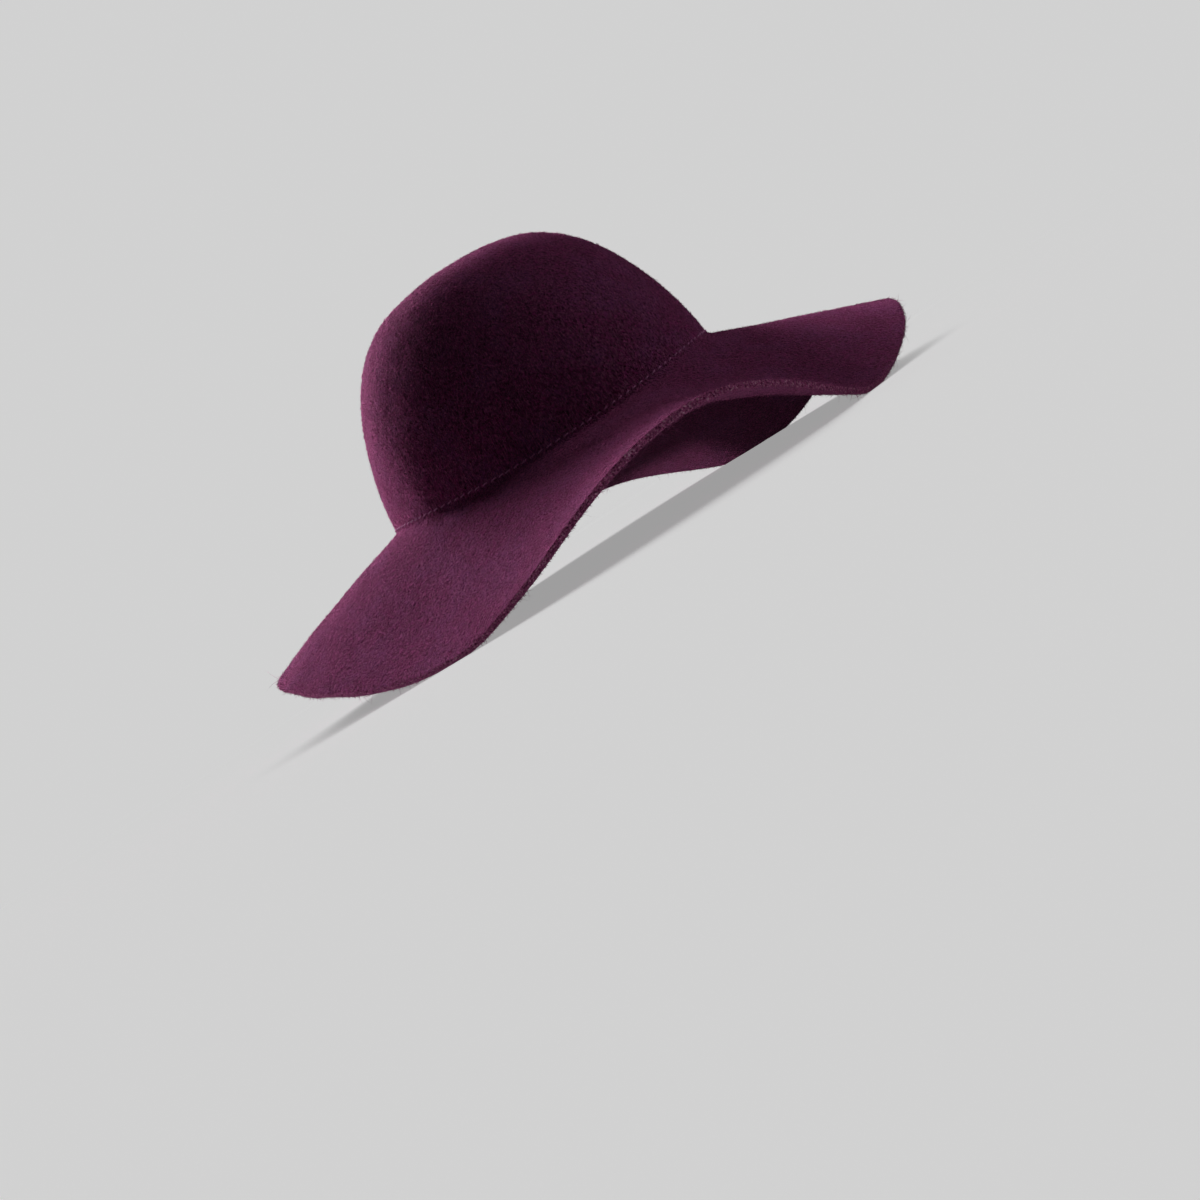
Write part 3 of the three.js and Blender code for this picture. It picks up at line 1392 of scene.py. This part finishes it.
@dataclass(frozen=True)
class SoftLight:
    """A soft light: a round box near the hat, or an even one from far away.

    azimuth and elevation say where it stands, in degrees, azimuth running from +Y over +X. size is the
    box's width in metres or the far light's breadth in degrees. strength is the box's power in watts or
    the far light's strength, and distance the box's, in metres. A light that is for the floor lights
    nothing else, and the others light all but the floor.
    """

    name: str
    kind: Lamp
    azimuth: float
    elevation: float
    size: float
    strength: float
    for_floor: bool = False
    distance: float = 0.7

    def build(self, receivers: bpy.types.Collection) -> None:
        """Makes the light.

        Formula: it stands at (sin a cos e, cos a cos e, sin e) * distance from the middle of the hat.

        Args:
            receivers: Says what the light falls on.
        """
        azimuth, elevation = math.radians(self.azimuth), math.radians(self.elevation)
        level = math.cos(elevation)
        source = Vector((math.sin(azimuth) * level, math.cos(azimuth) * level, math.sin(elevation)))
        lamp = bpy.data.lights.new(self.name, self.kind.value)
        lamp.energy = self.strength
        if self.kind is Lamp.FAR:
            lamp.angle = math.radians(self.size)
        else:
            lamp.shape = "DISK"
            lamp.size = self.size
        holder = bpy.data.objects.new(self.name, lamp)
        holder.location = Vector((0, 0, HAT_MIDDLE)) + source * self.distance
        holder.rotation_euler = (-source).to_track_quat("-Z", "Y").to_euler()
        holder.light_linking.receiver_collection = receivers
        bpy.context.scene.collection.objects.link(holder)


# The hat is lit from behind, as in the photograph, with a weak fill from its front and two weak lights
# from below, on the lip and the back tip of the brim
HAT_LIGHTS = (
    SoftLight("low_key", Lamp.FAR, azimuth=39, elevation=4, size=10, strength=2.8),
    SoftLight("high_box", Lamp.BOX, azimuth=53, elevation=45, size=0.4, strength=11.8, distance=0.8),
    SoftLight("front_fill", Lamp.FAR, azimuth=175, elevation=24, size=40, strength=1.12),
    SoftLight("lip_bounce", Lamp.BOX, azimuth=262, elevation=-28, size=0.12, strength=0.045, distance=0.3),
    SoftLight("tip_bounce", Lamp.BOX, azimuth=318, elevation=-25, size=0.12, strength=0.075, distance=0.33),
)

# The floor is lit evenly, from three sides
FLOOR_LIGHTS = tuple(
    SoftLight(
        f"floor_light_{azimuth}",
        Lamp.FAR,
        azimuth=azimuth,
        elevation=60,
        size=50,
        strength=0.45,
        for_floor=True,
    )
    for azimuth in (70, 190, 310)
)


@dataclass(frozen=True)
class Camera:
    """The photograph's view of the hat, in millimetres and degrees, from the wearer's right."""

    place: tuple[float, float, float] = (-634.98, 20.7, 23.74)
    azimuth: float = 270.505
    elevation: float = 4.06
    roll: float = -32.825
    lens: float = 34.08
    sensor: float = 36

    def build(self) -> None:
        """Makes the camera.

        Formula: a camera that looks straight down with its top towards +Y is rolled about its line of
        sight, tilted up to the elevation about +X, and turned about +Z by the azimuth.
        """
        turns = Matrix.Rotation(math.radians(self.azimuth), 4, "Z")
        turns @= Matrix.Rotation(math.radians(90 - self.elevation), 4, "X")
        turns @= Matrix.Rotation(math.radians(self.roll), 4, "Z")
        data = bpy.data.cameras.new("photo_view")
        data.lens = self.lens
        data.sensor_width = self.sensor
        data.clip_start = 0.01
        camera = bpy.data.objects.new("photo_view", data)
        camera.matrix_world = Matrix.Translation(Vector(self.place) * METRES_PER_MM) @ turns
        bpy.context.scene.collection.objects.link(camera)
        bpy.context.scene.camera = camera


@dataclass(frozen=True)
class Studio:
    """A pale floor that runs into a pale backdrop, soft lights and the camera, in metres."""

    floor_radius: float = 3
    floor_corners: int = 96
    fade_start: float = 1
    fade_end: float = 2.5
    floor_white: float = 0.8
    floor_glow: float = 0.34
    fill_strength: float = 0.002
    camera: Camera = Camera()
    lights: tuple[SoftLight, ...] = (*HAT_LIGHTS, *FLOOR_LIGHTS)

    @property
    def backdrop_glow(self) -> float:
        """The brightness that the backdrop and the far floor share with the lit floor.

        Formula: glow + floor white * (fill + the sum over the floor's lights of strength *
        sin(elevation) / pi).

        Returns:
            The brightness.
        """
        on_floor = sum(
            light.strength * math.sin(math.radians(light.elevation)) / math.pi
            for light in self.lights
            if light.for_floor
        )
        return self.floor_glow + self.floor_white * (self.fill_strength + on_floor)

    def build_floor(self) -> bpy.types.Object:
        """Makes the floor disc, a matt pale board.

        It glows a little to keep shadows pale, and gives way to the backdrop's own even glow far out.

        Returns:
            The floor.
        """
        corner = np.arange(self.floor_corners)
        angle = math.tau * corner / self.floor_corners
        rim = np.stack([np.cos(angle), np.sin(angle), 0 * angle], axis=-1) * self.floor_radius
        floor = build_mesh("floor", rim / METRES_PER_MM, [corner[None, :]])
        material = bpy.data.materials.new("matt_pale_board")
        tree = empty_tree(material)
        place = add_node(tree, "ShaderNodeTexCoord", {}, "Object")
        away = add_node(tree, "ShaderNodeVectorMath", {0: place}, "Value", operation="LENGTH")
        fading = {"Value": away, "From Min": self.fade_start, "From Max": self.fade_end}
        fade = add_node(tree, "ShaderNodeMapRange", fading, interpolation_type="SMOOTHSTEP")
        board = add_node(tree, "ShaderNodeBsdfDiffuse", {"Color": (self.floor_white,) * 3 + (1.0,)})
        near_glow, far_glow = (
            add_node(tree, "ShaderNodeEmission", {"Color": WHITE, "Strength": strength})
            for strength in (self.floor_glow, self.backdrop_glow)
        )
        lit = add_node(tree, "ShaderNodeAddShader", {0: board, 1: near_glow})
        both = add_node(tree, "ShaderNodeMixShader", {0: fade, 1: lit, 2: far_glow})
        add_node(tree, "ShaderNodeOutputMaterial", {"Surface": both})
        floor.data.materials.append(material)
        floor.visible_diffuse = False
        floor.visible_shadow = False
        return floor

    def build_world(self) -> None:
        """Makes the even light from all round, and the backdrop that the camera sees in its place."""
        world = bpy.data.worlds.new("pale_backdrop")
        tree = empty_tree(world)
        fill, seen = (
            add_node(tree, "ShaderNodeBackground", {"Color": WHITE, "Strength": strength})
            for strength in (self.fill_strength, self.backdrop_glow)
        )
        ray = add_node(tree, "ShaderNodeLightPath", {}, "Is Camera Ray")
        both = add_node(tree, "ShaderNodeMixShader", {0: ray, 1: fill, 2: seen})
        add_node(tree, "ShaderNodeOutputWorld", {"Surface": both})
        bpy.context.scene.world = world

    def build(self) -> None:
        """Makes the studio."""
        floor = self.build_floor()
        receivers = {}
        for for_floor, state in ((True, "INCLUDE"), (False, "EXCLUDE")):
            receivers[for_floor] = bpy.data.collections.new(f"floor_{state.lower()}d")
            receivers[for_floor].objects.link(floor)
            receivers[for_floor].collection_objects[0].light_linking.link_state = state
        self.build_world()
        for light in self.lights:
            light.build(receivers[light.for_floor])
        self.camera.build()
        bpy.context.scene.view_settings.view_transform = "Standard"


def main() -> None:
    """Builds the hat and the studio."""
    logging.basicConfig(level=logging.INFO, format="%(name)s: %(message)s")
    Studio().build()
    form = HatForm()
    body = FeltBody(form)
    surfaces = body.build(WoolFelt().build())
    band = SweatBand(form)
    band.build(GROSGRAIN_RIBBON.build())
    thread = COTTON_THREAD.build()
    break_path = BreakPath(form, surfaces[Zone.CROWN], row=body.dome_rows)
    Stitches("break_stitches", seed=31).build(break_path, thread)
    Stitches("band_stitches", seed=32).build(BandPath(form, band), thread)
    fibres = WoolNap().build()
    for nap in NAPS:
        nap.build(surfaces[nap.zone], fibres)


if __name__ == "__main__":
    main()
